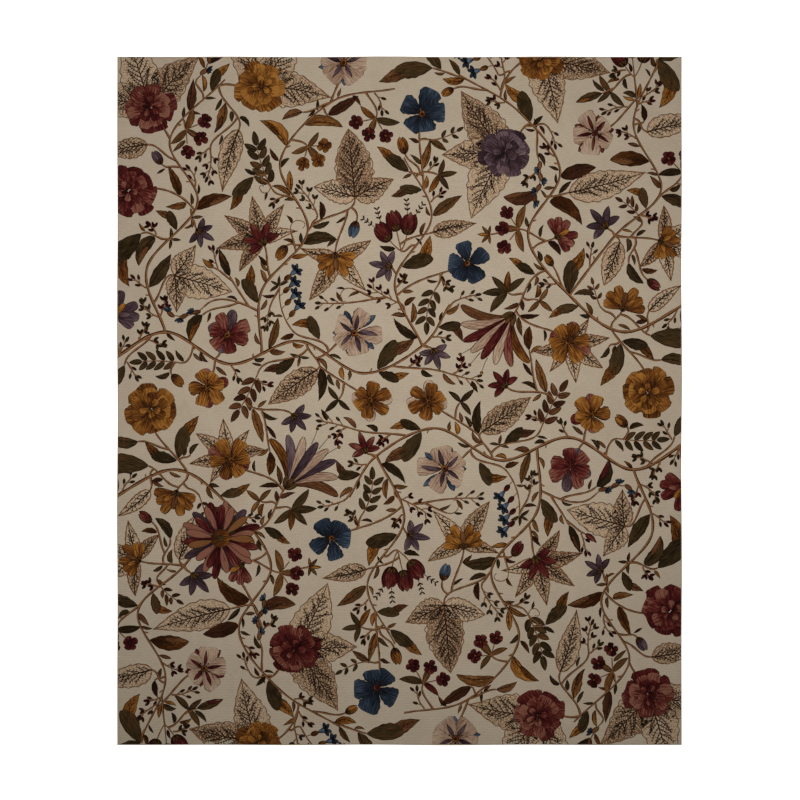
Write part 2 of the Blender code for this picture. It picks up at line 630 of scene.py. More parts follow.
def open_flower(sketch, place, radius, dye, shade, second=None, stripe=None, count=5):
    """A flat flower of broad petals, perhaps striped, with sepals or a second dye showing between."""
    if second:
        between = turned(place, math.pi / count)
        ring(sketch, between, radius * 1.04, count, second, 0.45, 0.42, 0.3, 0.9, 0.7, 0.3)
    width = 0.95 if count < 6 else 0.7
    ring(sketch, place, radius, count, dye, shade, 0.55, width, 0.8, 0.22, 0.06, wave=0.05)
    if stripe:
        ring(sketch, place, radius * 0.88, count, stripe, 0.55, 0.68, 0.24, 0.6, 0.8, 0.15, jitter=0.02)
    stamens(sketch, place, radius * 0.3)
    disc(sketch, place, radius * 0.16, "gold", 0.45, 0.88)
    disc(sketch, place, radius * 0.07, "husk", 0.1, 0.92)


def blue_flower(sketch, place, radius):
    """A plain blue flower of five petals."""
    open_flower(sketch, place, radius, "indigo", rng.uniform(0.35, 0.6))


def striped_flower(sketch, place, radius):
    """Ivory petals with a dark stripe, over sepals of another dye."""
    open_flower(
        sketch, place, radius, "ivory", 0.5,
        rng.choice(("indigo", "madder")), rng.choice(("aubergine", "madder")),
    )


def warm_flower(sketch, place, radius):
    """Gold or madder petals over a few pale or purple ones."""
    dye = rng.choice(("gold", "madder", "gold"))
    under = rng.choice(("aubergine", "ivory", "madder"))
    ring(sketch, turned(place, 0.6), radius, 4, under, 0.6, 0.45, 0.6, 0.7, 0.4, 0.15)
    shade = rng.uniform(0.4, 0.65)
    open_flower(sketch, place, radius * 0.92, dye, shade, count=int(rng.integers(5, 7)))


def daisy(sketch, place, radius):
    """Two rounds of narrow petals in several reds, the longer ones underneath."""
    tones = (
        ("madder", 0.3), ("madder", 1.1), ("madder", 0.45),
        ("aubergine", 0.35), ("husk", 1.15), ("madder", 0.3),
    )
    for i in range(DAISY_PETALS):
        dye, shade = tones[i * 5 % 6 if i % 4 else 1]
        heading = math.tau * i / DAISY_PETALS + rng.uniform(-0.05, 0.05)
        start = step(turned(place, heading), radius * 0.15)
        length = radius * (0.85 if i % 2 else 0.70) * rng.uniform(0.92, 1.05)
        bend = rng.uniform(-0.25, 0.25)
        tone = shade + rng.uniform(-0.12, 0.12)
        level = 0.5 + 0.3 * (i % 2 == 0) + 0.01 * i
        sketch.patch(dye, start, length, radius * 0.21, 0.9, 0.45, bend, 0, 0, tone, level)
    disc(sketch, place, radius * 0.24, "gold", 0.25, 1.12)
    disc(sketch, place, radius * 0.10, "leaf", 0.4, 1.18)


def blossom(sketch, place, radius):
    """A small red flower of five petals."""
    ring(sketch, place, radius, 5, "madder", 0.3, 0.5, 0.95, 0.7, 0.3, 0.05)
    disc(sketch, place, radius * 0.2, "gold", 0.5, 0.7)


# %% [markdown]
# Trumpets, tulips, bells and half-open flowers are seen from the side, so their petals start at one
# point and fan out, and a few green sepals, the calyx, cover that point. Each row of a fan is one
# petal: how far it turns from the flower's heading, how it bends, its dye and its shade.

# %% Flowers seen from the side
def fan(sketch, place, size, rows, width, base, tip, level):
    """Petals from one point, each given as its turn, bend, dye and shade, the later ones on top."""
    for k, (turn, bend, dye, shade) in enumerate(rows):
        length = size * (1 - abs(turn) * 0.15) * rng.uniform(0.94, 1.05)
        start = turned(place, turn)
        sketch.patch(dye, start, length, size * width, base, tip, bend, 0, 0, shade, level + 0.04 * k)


def calyx(sketch, place, size, dye="leaf", shade=0.55, level=0.85):
    """Three sepals round a flower's base."""
    for turn in (-0.55, 0.55, 0.0):
        sketch.patch(dye, turned(place, turn), size, size * 0.42, 0.6, 0.9, 0, 0, 0, shade, level)


def star_bell(sketch, place, size):
    """A wide bell whose pointed petals spread like a star."""
    dye = rng.choice(("aubergine", "aubergine", "madder", "indigo"))
    shade = rng.uniform(0.35, 0.6)
    turns = (-1.45, 1.45, -0.75, 0.75, 0.0)
    rows = [(turn, turn * 0.35, dye, shade + rng.uniform(-0.1, 0.15)) for turn in turns]
    fan(sketch, place, size, rows, 0.36, 0.65, 0.75, 0.5)
    calyx(sketch, step(place, -size * 0.16), size * 0.42)


def bell(sketch, place, size):
    """A blue bell with a flared rim and a gold cap."""
    cup = step(place, size * 0.28)
    sketch.patch("indigo", cup, size * 0.6, size * 0.36, 0.85, 0.07, shade=0.8, level=0.5)
    rim = step(place, size * 0.7)
    for turn in (-1.2, -0.55, 0.55, 1.2):
        start = turned(rim, turn)
        sketch.patch("indigo", start, size * 0.36, size * 0.19, 0.6, 0.6, turn * 0.3, 0, 0, 0.3, 0.56)
    sketch.patch("gold", place, size * 0.42, size * 0.26, 0.5, 0.6, shade=0.35, level=0.62)


def half_open(sketch, place, size):
    """A flower half open, seen from the side: long petals behind, short ones in front."""
    pairs = (("gold", "husk"), ("aubergine", "ivory"), ("madder", "gold"), ("gold", "madder"))
    dye, other = pairs[int(rng.integers(0, 4))]
    shade = rng.uniform(0.35, 0.6)
    turns = (-1.2, 1.2, -0.8, 0.8, -0.35, 0.35)
    behind = [(turn, turn * 0.4, dye, shade + rng.uniform(-0.15, 0.15)) for turn in turns]
    fan(sketch, place, size, behind, 0.38, 0.75, 0.32, 0.5)
    front = [(turn, turn * 0.6, dye if turn else other, shade + 0.15) for turn in (-0.6, 0.6, 0.0)]
    fan(sketch, place, size * 0.62, front, 0.4, 0.7, 0.4, 0.78)
    calyx(sketch, step(place, -size * 0.1), size * 0.32, level=0.98)


def tulip(sketch, place, size, dye, threads):
    """Three petals closed to a cup, perhaps with feathered threads hanging out of it."""
    rows = ((-0.42, 0.45, dye, 0.25), (0.42, -0.45, dye, 0.35), (0.0, 0.0, dye, 0.49))
    fan(sketch, place, size, rows, 0.46, 0.55, 0.75, 0.5)
    calyx(sketch, place, size * 0.36)
    for turn in (-0.25, 0.15) if threads else ():
        root = step(turned(place, turn), size * 0.85)
        sketch.line("rib", arc_line(root, size * 0.6, turn, 4), 0.003, 0.0024, 0.4)
        for k in range(3):
            knot = arc(root, size * 0.6, turn, (k + 1) / 3)
            for way in (-0.8, 0.8):
                start = turned(knot, way)
                sketch.patch(dye, start, size * 0.17, size * 0.075, shade=0.7, level=0.45)


def lily(sketch, place, size):
    """A long striped trumpet, its petals rolled outwards at the mouth."""
    dye = rng.choice(("madder", "madder", "aubergine"))
    rows = (
        (-0.50, -1.1, "husk", 0.6), (0.50, 1.1, "gold", 0.3),
        (-0.34, -0.7, "ivory", 0.35), (0.34, 0.7, dye, 0.7),
        (-0.2, -0.35, dye, 0.3), (0.2, 0.35, "ivory", 0.55),
        (-0.08, -0.1, "ivory", 0.4), (0.07, 0.05, dye, 0.35),
    )
    fan(sketch, place, size, rows, 0.17, 0.95, 0.5, 0.4)
    for turn in (-0.3, 0.0, 0.3):
        root = step(turned(place, turn * 0.6), size * 0.85)
        sketch.line("rib", arc_line(root, size * 0.28, turn, 4), 0.003, 0.002, 0.75)
        disc(sketch, arc(root, size * 0.28, turn), size * 0.03, "gold", 0.6, 0.8)
    calyx(sketch, step(place, -size * 0.04), size * 0.26)


def bud(sketch, place, size):
    """Two petals still closed over each other."""
    dye = rng.choice(("madder", "aubergine", "gold", "indigo"))
    shade = rng.uniform(0.3, 0.6)
    rows = ((-0.28, 0.4, dye, shade - 0.1), (0.28, -0.4, dye, shade + 0.1))
    fan(sketch, place, size, rows, 0.44, 0.6, 0.75, 0.5)
    calyx(sketch, place, size * 0.42, "husk", 0.5)


# %% [markdown]
# Small growth fills what the flowers leave open: sprigs with berries, sprays of paired leaves, rows
# of blue bells, catkins, groups of tulips and little blossoms. It stands on thin stems, which are
# arcs too, and every place along them is again a share of the arc. Three larger groups spread lace
# leaves behind a flower, as lobes or like a star.

# %% Sprigs, sprays and groups
def stalk(sketch, place, length, bend, thick, thin):
    """A bowed stem; returns the place at its tip."""
    count = max(4, int(length / 0.02))
    sketch.line("stem", arc_line(place, length, bend, count), thick, thin, 0.25)
    return arc(place, length, bend)


def sprig(sketch, place, size):
    """A thin stem with short twigs, each ending in berries or small buds."""
    bend = rng.uniform(-0.9, 0.9)
    dye = rng.choice(("husk", "leaf", "leaf", "madder"))
    long_buds = rng.random() < 0.6
    end = stalk(sketch, place, size, bend, 0.0085, 0.006)
    count = max(3, int(size / 0.021))
    for i in range(1, count + 1):
        way = 1 if i % 2 else -1
        twig = turned(arc(place, size, bend, i / (count + 0.3)), way * rng.uniform(0.7, 1.05))
        reach = min(0.034, size * rng.uniform(0.16, 0.28))
        sketch.line("stem", arc_line(twig, reach, -way * 0.3, 3), 0.0062, 0.0050, 0.28)
        tip = arc(twig, reach * 0.85, -way * 0.3)
        for turn in (-0.5, 0.5) if long_buds else (0.0,):
            shade = rng.uniform(0.0, 0.4)
            sketch.patch(dye, turned(tip, turn), 0.026, 0.0135, 0.5, 0.6, shade=shade, level=0.4)
    sketch.patch(dye, end, 0.030, 0.015, 0.5, 0.6, shade=0.2, level=0.4)


def spray(sketch, place, size):
    """A curved stem with pairs of small leaves."""
    bend = rng.uniform(-0.8, 0.8)
    dye, shade = (("leaf", 0.3), ("leaf", 0.75), ("gold", 0.3), ("husk", 0.4))[int(rng.integers(0, 4))]
    end = stalk(sketch, place, size, bend, 0.007, 0.0045)
    pairs = max(2, int(size / 0.04))
    leaflet = min(0.066, size * 0.34)
    for i in range(pairs):
        root = arc(place, size, bend, (i + 0.8) / (pairs + 0.4))
        for way in (-1, 1):
            start = step(turned(root, way * rng.uniform(0.8, 1.05)), 0.004)
            sketch.patch(
                dye, start, leaflet * rng.uniform(0.85, 1.05), leaflet * 0.46, 0.5, 0.75,
                -way * 0.3, 0, 0, shade + rng.uniform(-0.2, 0.25), 0.4,
            )
    sketch.patch(dye, end, leaflet, leaflet * 0.46, 0.5, 0.75, shade=shade, level=0.4)


def bells_row(sketch, place, size):
    """A bowed stem with flared bells hanging to one side."""
    side = rng.choice((-1, 1))
    bend = side * rng.uniform(0.5, 0.9)
    stalk(sketch, place, size, bend, 0.008, 0.0055)
    count = 4 if size > 0.2 else 3
    for i in range(count):
        root = turned(arc(place, size, bend, (i + 0.9) / count), side * (1.25 - 0.15 * i))
        bell(sketch, stalk(sketch, root, 0.022, 0.1, 0.0045, 0.0045), 0.092)


def catkin(sketch, place, size):
    """A hanging row of brown buds, each with a tuft of small blue petals."""
    bend = rng.choice((-1, 1)) * rng.uniform(0.7, 1.3)
    stalk(sketch, place, size, bend, 0.006, 0.005)
    count = max(3, int(size / 0.045))
    for i in range(count):
        way = 1 if i % 2 else -1
        root = turned(arc(place, size, bend, (i + 0.7) / count), way * 0.35)
        sketch.patch("husk", step(root, -0.018), 0.042, 0.022, shade=rng.uniform(0.5, 0.9), level=0.5)
        tuft = step(root, 0.018)
        rows = [(turn * way, 0.0, "indigo", rng.uniform(0.3, 0.7)) for turn in (0.1, 0.65, 1.2, 1.7)]
        fan(sketch, tuft, 0.03, rows, 0.42, 0.6, 0.5, 0.55)


def cluster(sketch, place, size):
    """Three small blossoms with leaves between them."""
    star_leaves(sketch, place, size * 0.95, 3, 3.2)
    for turn in (-0.95, 0.0, 0.95):
        spot = arc(turned(place, turn), size * rng.uniform(0.62, 0.95), 0)
        sketch.line("stem", arc_line(turned(place, turn), size * 0.6, 0, 4), 0.0065, 0.0055, 0.3)
        blossom(sketch, spot, size * 0.31)


def tulips(sketch, place, size):
    """Three tulips on stalks from one root."""
    dye = rng.choice(("madder", "madder", "aubergine"))
    for turn, reach in ((-0.8, 0.34), (-0.1, 0.4), (0.65, 0.3)):
        end = stalk(sketch, turned(place, turn), size * reach, -turn * 0.4, 0.0065, 0.0055)
        tulip(sketch, end, size * 0.46, dye, turn != -0.1)


def lace_and_peony(sketch, place, size):
    """A peony with large lace leaves fanned behind it."""
    for i in (-1, 0, 1):
        turn = i * rng.uniform(0.85, 1.05)
        lace_leaf(sketch, turned(place, turn), size * rng.uniform(0.85, 1.05), turn * 0.2, 0.52)
    peony(sketch, step(place, -size * 0.06), size * 0.36)


def lace_lobes(sketch, place, size):
    """One large lace leaf cut into lobes."""
    for turn, share in ((-1.15, 0.62), (1.15, 0.62), (0.0, 1.0)):
        lace_leaf(sketch, turned(place, turn), size * share, turn * 0.15, 0.55)


def lace_star(sketch, place, size):
    """Narrow lace leaves spread like fingers, sometimes with a flower over them."""
    count = int(rng.integers(4, 7))
    for i in range(count):
        turn = (i / (count - 1) - 0.5) * 3.4
        length = size * (1.0 - 0.12 * abs(turn)) * rng.uniform(0.9, 1.1)
        lace_leaf(sketch, turned(place, turn), length, turn * 0.25, 0.36)
    if rng.random() < 0.6:
        rng.choice((star_bell, half_open, warm_flower))(sketch, step(place, -size * 0.05), size * 0.5)


def tendril(sketch, place, size):
    """A thin curl with a small leaf."""
    bend = rng.choice((-1, 1)) * rng.uniform(2.0, 3.2)
    end = stalk(sketch, place, size, bend, 0.005, 0.004)
    stalk(sketch, end, size * 0.4, bend * 0.9, 0.004, 0.0035)
    leaf(sketch, turned(arc(place, size, bend, 0.4), -0.9 * math.copysign(1, bend)), size * 0.5)

# %% [markdown]
# Motifs keep clear of each other and leave no large bare spot, so the field has a map of its free
# room: for each 6 mm cell, how far it is to the nearest thing already sewn down. A motif is tried as
# a string of discs, and it fits where every disc finds more room than its own radius. The pattern is
# much the same after half a turn of the rug, so each motif is sewn down twice, and the second may
# change its dyes.

# %% The map of free room
ROOM_CELL = 0.006
ROOM_REACH = 0.26
OVERHANG = 0.05
# The share of its discs that a motif has to have on the rug, and the places of discs along a patch
LEAST_ON_RUG = 0.6
DISC_PLACES = (0.12, 0.35, 0.6, 0.88)
SHORT_PATCH = 0.03
LEAST_DISC = 0.003
# Smaller discs of one motif may touch the discs of its own twin
BIG_DISC = 0.01
# Thinner stems carry no twigs
BRANCHES_FROM = 0.0058
GRID_X = np.arange(-WIDTH / 2 - 0.06, WIDTH / 2 + 0.06, ROOM_CELL)
GRID_Y = np.arange(-LENGTH / 2 - 0.06, LENGTH / 2 + 0.06, ROOM_CELL)
room = np.full((len(GRID_Y), len(GRID_X)), ROOM_REACH)
sewn = Sketch()
stem_places = []


def discs_of(sketch):
    """The sketch as discs (x, y, radius), a few along each patch and one at each point of a stem."""
    discs = []
    for row in sketch.patches:
        x, y, turn, length, width, base, tip, bend = row[1:9]
        for share in (0.5,) if length < SHORT_PATCH else DISC_PLACES:
            spot = arc((x, y, turn), length, bend, share)
            radius = width / 2 * float(fullness(share, base, tip))
            discs.append((*spot[:2], max(LEAST_DISC, radius)))
    for yarn, points, start, end, _ in sketch.lines:
        if yarn == "stem":
            thickness = np.linspace(start, end, len(points))
            discs.extend((x, y, thick / 2) for (x, y), thick in zip(points, thickness))
    return np.array(discs)


def mark_taken(discs):
    """Lower the room around each disc."""
    for x, y, radius in discs:
        left, right = np.searchsorted(GRID_X, (x - ROOM_REACH, x + ROOM_REACH))
        low, high = np.searchsorted(GRID_Y, (y - ROOM_REACH, y + ROOM_REACH))
        if left < right and low < high:
            gap = np.hypot(GRID_X[None, left:right] - x, GRID_Y[low:high, None] - y) - radius
            np.minimum(room[low:high, left:right], gap, out=room[low:high, left:right])


def fits(sketch, margin, root, free=0.02):
    """Whether the sketch has room, leaving out what is within the free distance of its root."""
    discs = discs_of(sketch)
    within = (abs(discs[:, 0]) < WIDTH / 2 + OVERHANG) & (abs(discs[:, 1]) < LENGTH / 2 + OVERHANG)
    if within.mean() < LEAST_ON_RUG:
        return False
    discs = discs[np.hypot(discs[:, 0] - root[0], discs[:, 1] - root[1]) > free]
    columns = np.clip(((discs[:, 0] - GRID_X[0]) / ROOM_CELL + 0.5).astype(int), 0, len(GRID_X) - 1)
    rows = np.clip(((discs[:, 1] - GRID_Y[0]) / ROOM_CELL + 0.5).astype(int), 0, len(GRID_Y) - 1)
    if len(discs) == 0 or (room[rows, columns] < discs[:, 2] + margin).any():
        return False
    big = discs[discs[:, 2] > BIG_DISC]
    gap = np.hypot(big[:, None, 0] + big[None, :, 0], big[:, None, 1] + big[None, :, 1])
    return not (gap < big[:, None, 2] + big[None, :, 2] + margin).any()


def half_turned(sketch, swap):
    """The same sketch on the other half of the rug, with some dyes changed."""
    twin = Sketch()
    for dye, x, y, turn, *rest in sketch.patches:
        twin.patches.append((swap.get(dye, dye), -x, -y, turn + math.pi, *rest))
    for yarn, points, start, end, level in sketch.lines:
        twin.lines.append((yarn, -points, start, end, level))
    return twin


def sew(sketch, swap=None, twin=True):
    """Sew a sketch down, and its half-turned twin, and remember where stems can branch."""
    for one in [sketch, half_turned(sketch, swap or {})] if twin else [sketch]:
        sewn.patches.extend(one.patches)
        sewn.lines.extend(one.lines)
        mark_taken(discs_of(one))
        for yarn, points, start, _, _ in one.lines:
            if yarn == "stem" and start >= BRANCHES_FROM and len(points) > 3:
                run = np.gradient(points, axis=0)
                headings = np.arctan2(run[:, 1], run[:, 0])
                stem_places.extend((x, y, h) for (x, y), h in zip(points[1:-1], headings[1:-1]))


# %% [markdown]
# The main stems are given as a designer would lay them: long easy curves that cross the field from
# side to side and meet near its middle. Each is a row of points, and a smooth curve runs through
# all of them. Their twins make the other half.

# %% Main stems
VINES = (
    # thickness at the root and at the end, then the points
    (0.017, 0.011, (
        (-1.28, 0.16), (-1.02, 0.30), (-0.74, 0.16), (-0.44, 0.26), (-0.16, 0.12), (0.10, 0.24), (0.22, 0.42),
    )),
    (0.014, 0.009, (
        (-0.60, 0.21), (-0.60, 0.48), (-0.40, 0.74), (-0.52, 1.04), (-0.30, 1.30), (-0.02, 1.36),
    )),
    (0.014, 0.009, ((-1.02, 0.30), (-1.10, 0.58), (-0.88, 0.86), (-1.00, 1.14), (-0.76, 1.40))),
    (0.013, 0.008, ((0.10, 0.24), (-0.02, 0.52), (0.14, 0.80), (0.02, 1.06))),
    (0.016, 0.009, (
        (1.28, 0.44), (0.98, 0.30), (0.74, 0.46), (0.56, 0.72), (0.70, 1.00), (0.52, 1.26), (0.26, 1.42),
    )),
    (0.013, 0.009, ((0.74, 0.46), (0.94, 0.72), (1.14, 0.92), (1.02, 1.20), (1.12, 1.46))),
)
SPAN_STEPS = 9
STUB_EVERY = 8
STUB_LENGTH = 0.022


def smooth_through(points):
    """A smooth curve through all the points."""
    p = np.asarray(points, dtype=float)
    p = np.vstack([2 * p[0] - p[1], p, 2 * p[-1] - p[-2]])
    curve = []
    for i in range(1, len(p) - 2):
        a, b, c, d = p[i - 1 : i + 3]
        square = 2 * a - 5 * b + 4 * c - d
        cube = 3 * b - a - 3 * c + d
        for t in np.linspace(0, 1, SPAN_STEPS, endpoint=False):
            curve.append(0.5 * (2 * b + (c - a) * t + square * t**2 + cube * t**3))
    curve.append(p[-2])
    return np.array(curve)


for thick, thin, points in VINES:
    vine = Sketch()
    curve = smooth_through(points)
    vine.line("stem", curve, thick, thin, 0.3)
    # Short stubs, as where a twig was nipped off
    for i in range(5, len(curve) - 3, STUB_EVERY):
        run = curve[i + 1] - curve[i]
        side = 1 if i % (2 * STUB_EVERY) < STUB_EVERY else -1
        heading = math.atan2(run[1], run[0]) + side * 0.8
        vine.line("stem", arc_line((*curve[i], heading), STUB_LENGTH, 0.3, 3), 0.009, 0.006, 0.28)
    sew(vine)
print("main stems:", len(sewn.lines), "with", len(stem_places), "places to branch from")

# %% [markdown]
# From here the pattern grows like a plant that looks for light. The emptiest spot of the field is
# found, a motif is sketched there on a curved twig from the nearest stem, and a few dozen turns
# and sizes are tried until one fits. Large motifs go first and small ones last, so that
# everything ends up evenly dense.

# %% Grow a kind of motif into the free room
SWAPS = (
    {"madder": "aubergine", "aubergine": "madder"},
    {"gold": "madder"},
    {"madder": "gold"},
    {},
    {},
)
SPOT_GAP = 0.05
TRIES = 50
LONGEST_TWIG = 0.42
# How many of the emptiest spots are listed, and from how many of the best of them one is drawn
SPOTS_LISTED = 14
SPOTS_DRAWN = 5
TWIG = (0.0115, 0.0085)


def emptiest(count, least):
    """Spots with the most room, best first and spread apart."""
    left = room.copy()
    left[:, abs(GRID_X) > WIDTH / 2 - 0.01] = 0
    left[abs(GRID_Y) > LENGTH / 2 - 0.01, :] = 0
    spots = []
    span = int(SPOT_GAP / ROOM_CELL)
    while len(spots) < count:
        row, column = divmod(int(np.argmax(left)), left.shape[1])
        if left[row, column] < least:
            break
        spots.append((GRID_X[column], GRID_Y[row]))
        left[max(0, row - span) : row + span, max(0, column - span) : column + span] = 0
    return spots


def roots_near(spot):
    """A few places on stems near a spot."""
    table = np.array(stem_places)
    gap = np.hypot(table[:, 0] - spot[0], table[:, 1] - spot[1])
    order = [i for i in np.argsort(gap)[:60] if 0.015 < gap[i] < LONGEST_TWIG]
    return [table[i] for i in order[:: max(1, len(order) // 6)][:6]]


def twig_to(sketch, place, root, leave):
    """A twig that leaves a stem in one heading and arrives at a place in that place's heading."""
    start, end = np.array(root[:2]), np.array(place[:2])
    gap = float(np.linalg.norm(end - start))
    first = start + 0.4 * gap * np.array((math.cos(leave), math.sin(leave)))
    second = end - 0.35 * gap * np.array((math.cos(place[2]), math.sin(place[2])))
    t = np.linspace(0, 1, max(4, int(gap / 0.018)))[:, None]
    curve = (1 - t) ** 3 * start + 3 * (1 - t) ** 2 * t * first + 3 * (1 - t) * t**2 * second + t**3 * end
    sketch.line("stem", curve, *TWIG, 0.25)


def try_spot(draw, spot, size, margin, centred):
    """One try at a motif near a spot; the sketch with its twig if it fits."""
    centre = np.array(spot) + rng.normal(0, 0.02, 2)
    roots = roots_near(centre)
    if not roots:
        return None
    root = roots[int(rng.integers(0, len(roots)))]
    toward = math.atan2(centre[1] - root[1], centre[0] - root[0])
    off = (toward - root[2] + math.pi) % math.tau - math.pi
    leave = root[2] + math.copysign(min(abs(off), 1.1), off) if abs(off) < 2.2 else toward
    heading = toward + rng.uniform(-0.7, 0.7)
    back = 0.0 if centred else size / 2
    place = (centre[0] - back * math.cos(heading), centre[1] - back * math.sin(heading), heading)
    sketch, twig = Sketch(), Sketch()
    draw(sketch, place, size)
    twig_to(twig, place, root, leave)
    if not fits(sketch, margin, root) or not fits(twig, 0.001, root, 0.045):
        return None
    sketch.lines.extend(twig.lines)
    return sketch


def grow(draw, pairs, sizes, least, margin, centred):
    """Sew down pairs of one motif wherever the emptiest spots take it."""
    made, given_up = 0, set()
    for _ in range(pairs * 5):
        listed = emptiest(SPOTS_LISTED, least)
        spots = [s for s in listed if (round(s[0], 2), round(s[1], 2)) not in given_up]
        if made >= pairs or not spots:
            break
        spot = spots[int(rng.integers(0, min(len(spots), SPOTS_DRAWN)))]
        for _ in range(TRIES):
            found = try_spot(draw, spot, rng.uniform(*sizes), margin, centred)
            if found:
                sew(found, SWAPS[int(rng.integers(0, len(SWAPS)))])
                made += 1
                break
        else:
            given_up.add((round(spot[0], 2), round(spot[1], 2)))
    return made


# %% [markdown]
# One large daisy has a place of its own and no twin. Leaves also sit straight on the main stems, on
# alternate sides, as on any climbing plant. A plan lists the kinds of motif in the order they are
# grown: how many pairs, between which sizes in metres, how much room a spot needs, and the gap kept
# to neighbours.

# %% Dress the stems and fill the field
def dress_stems(spacing, sizes, makers, margin):
    """Leaves along the stems on alternate sides, wherever one fits."""
    side, made, last = 1, 0, None
    for x, y, heading in list(stem_places):
        if last is not None and math.hypot(x - last[0], y - last[1]) < spacing * rng.uniform(0.7, 1.2):
            continue
        for _ in range(8):
            side = -side
            sketch = Sketch()
            draw = makers[int(rng.integers(0, len(makers)))]
            place = turned((x, y, heading), side * rng.uniform(0.45, 1.0))
            draw(sketch, step(place, 0.008), rng.uniform(*sizes))
            if fits(sketch, margin, (x, y), 0.03):
                sew(sketch)
                last = (x, y)
                made += 1
                break
    return made


DAISY_PLACE = (-0.78, -0.60, 0.2)
DAISY_RADIUS = 0.175
DAISY_ROOT = (-0.60, -0.99, 1.85)
DAISY_STALK = 0.30
daisy_sketch = Sketch()
daisy(daisy_sketch, DAISY_PLACE, DAISY_RADIUS)
stalk(daisy_sketch, DAISY_ROOT, DAISY_STALK, 0.4, 0.012, 0.010)
sew(daisy_sketch, twin=False)

PLAN_COLUMNS = ("draw", "pairs", "sizes", "least", "margin", "centred")
PLAN = (
    (lace_and_peony, 4, (0.29, 0.34), 0.10, 0.002, False),
    (lily, 1, (0.25, 0.29), 0.08, 0.004, False),
    (peony, 2, (0.11, 0.125), 0.09, 0.004, True),
    (lace_lobes, 2, (0.24, 0.30), 0.08, 0.003, False),
    (lace_star, 4, (0.17, 0.22), 0.08, 0.002, False),
    (lace_leaf, 4, (0.26, 0.36), 0.07, 0.003, False),
    (blue_flower, 2, (0.085, 0.10), 0.07, 0.004, True),
    (striped_flower, 3, (0.09, 0.11), 0.07, 0.004, True),
    (warm_flower, 3, (0.085, 0.105), 0.07, 0.004, True),
    (half_open, 3, (0.10, 0.13), 0.06, 0.003, False),
    (curled_leaf, 4, (0.25, 0.32), 0.06, 0.002, False),
    (bells_row, 2, (0.20, 0.27), 0.06, 0.003, False),
    (tulips, 2, (0.20, 0.25), 0.06, 0.003, False),
    (cluster, 5, (0.10, 0.13), 0.06, 0.002, False),
    (spray, 4, (0.15, 0.22), 0.055, 0.002, False),
    (star_leaves, 5, (0.08, 0.11), 0.055, 0.002, False),
    (star_bell, 5, (0.08, 0.105), 0.05, 0.002, False),
    (lace_leaf, 4, (0.15, 0.22), 0.05, 0.002, False),
    (catkin, 3, (0.15, 0.20), 0.05, 0.002, False),
)
FILLING = (
    (curled_leaf, 6, (0.15, 0.24), 0.04, 0.002, False),
    (sprig, 8, (0.11, 0.16), 0.035, 0.002, False),
    (spray, 3, (0.10, 0.15), 0.035, 0.002, False),
    (leaf, 8, (0.10, 0.16), 0.03, 0.002, False),
    (bud, 8, (0.06, 0.085), 0.028, 0.002, False),
    (sprig, 14, (0.07, 0.11), 0.022, 0.002, False),
    (tendril, 3, (0.07, 0.10), 0.022, 0.002, False),
    (star_leaves, 10, (0.045, 0.065), 0.02, 0.002, False),
    (leaf, 8, (0.06, 0.09), 0.02, 0.002, False),
)


def grow_all(plan):
    """Grow every kind of motif that a plan lists, in its order."""
    for row in plan:
        kind = dict(zip(PLAN_COLUMNS, row))
        print(kind["draw"].__name__, grow(**kind), "of", kind["pairs"], "pairs")


grow_all(PLAN)
leaves = dress_stems(0.30, (0.14, 0.26), (leaf, curled_leaf, curled_leaf, lace_leaf), 0.003)
grow_all(FILLING)
twigs = dress_stems(0.12, (0.045, 0.10), (sprig, sprig, sprig, star_leaves, leaf), 0.001)
print("on the stems:", leaves, "leaves and", twigs, "twigs")
print("the pattern has", len(sewn.patches), "patches and", len(sewn.lines), "lines")

# %% [markdown]
# Now the numbers become pile. Both kinds of piece, patches and ribbons, are shaped flat first and
# then laid on the sheet, so the laying is one group that both trees share. It cuts away what hangs
# over the rug's edge, draws the rest in to the edge, and drops a ray from each point onto the
# sheet, so that the dyed pile follows every ripple. A lift in metres sets it a little proud.

# %% Lay a flat shape on the sheet
EDGE_INSET = 0.0032
SINK = 0.00015

lay_group, lay_in, lay_out = new_tree(
    "Lay on the sheet",
    "GeometryNodeTree",
    [
        ("Geometry", "NodeSocketGeometry", None),
        ("Ground", "NodeSocketObject", None),
        ("Lift", "NodeSocketFloat", 0.0),
    ],
    [("Geometry", "NodeSocketGeometry", None)],
)
limits = (WIDTH / 2 - EDGE_INSET, LENGTH / 2 - EDGE_INSET)
flat = add(lay_group, "ShaderNodeSeparateXYZ", {0: add(lay_group, "GeometryNodeInputPosition")})
beyond = [
    add(
        lay_group,
        "FunctionNodeCompare",
        {0: add(lay_group, MATH, {0: flat.outputs[i]}, operation="ABSOLUTE"), 1: limits[i]},
        operation="GREATER_THAN",
    )
    for i in (0, 1)
]
outside = add(lay_group, "FunctionNodeBooleanMath", {0: beyond[0], 1: beyond[1]}, operation="OR")
# Asked per point first, so that a face goes only when all its points are outside
per_point = add(lay_group, "GeometryNodeFieldOnDomain", {0: outside}, domain="POINT", data_type="BOOLEAN")
cut = add(
    lay_group,
    "GeometryNodeDeleteGeometry",
    {0: lay_in.outputs["Geometry"], 1: per_point},
    domain="FACE",
)
held = [
    add(lay_group, "ShaderNodeClamp", {0: flat.outputs[i], 1: -limits[i], 2: limits[i]})
    for i in (0, 1)
]
above = add(lay_group, "ShaderNodeCombineXYZ", {0: held[0], 1: held[1], 2: 1.0})
sheet_there = add(lay_group, "GeometryNodeObjectInfo", {0: lay_in.outputs["Ground"]})
ray = add(
    lay_group,
    "GeometryNodeRaycast",
    {
        "Target Geometry": sheet_there.outputs["Geometry"],
        "Source Position": above,
        "Ray Direction": (0.0, 0.0, -1.0),
        "Ray Length": 2.0,
    },
)
lifted = add(lay_group, "ShaderNodeCombineXYZ", {2: lay_in.outputs["Lift"]})
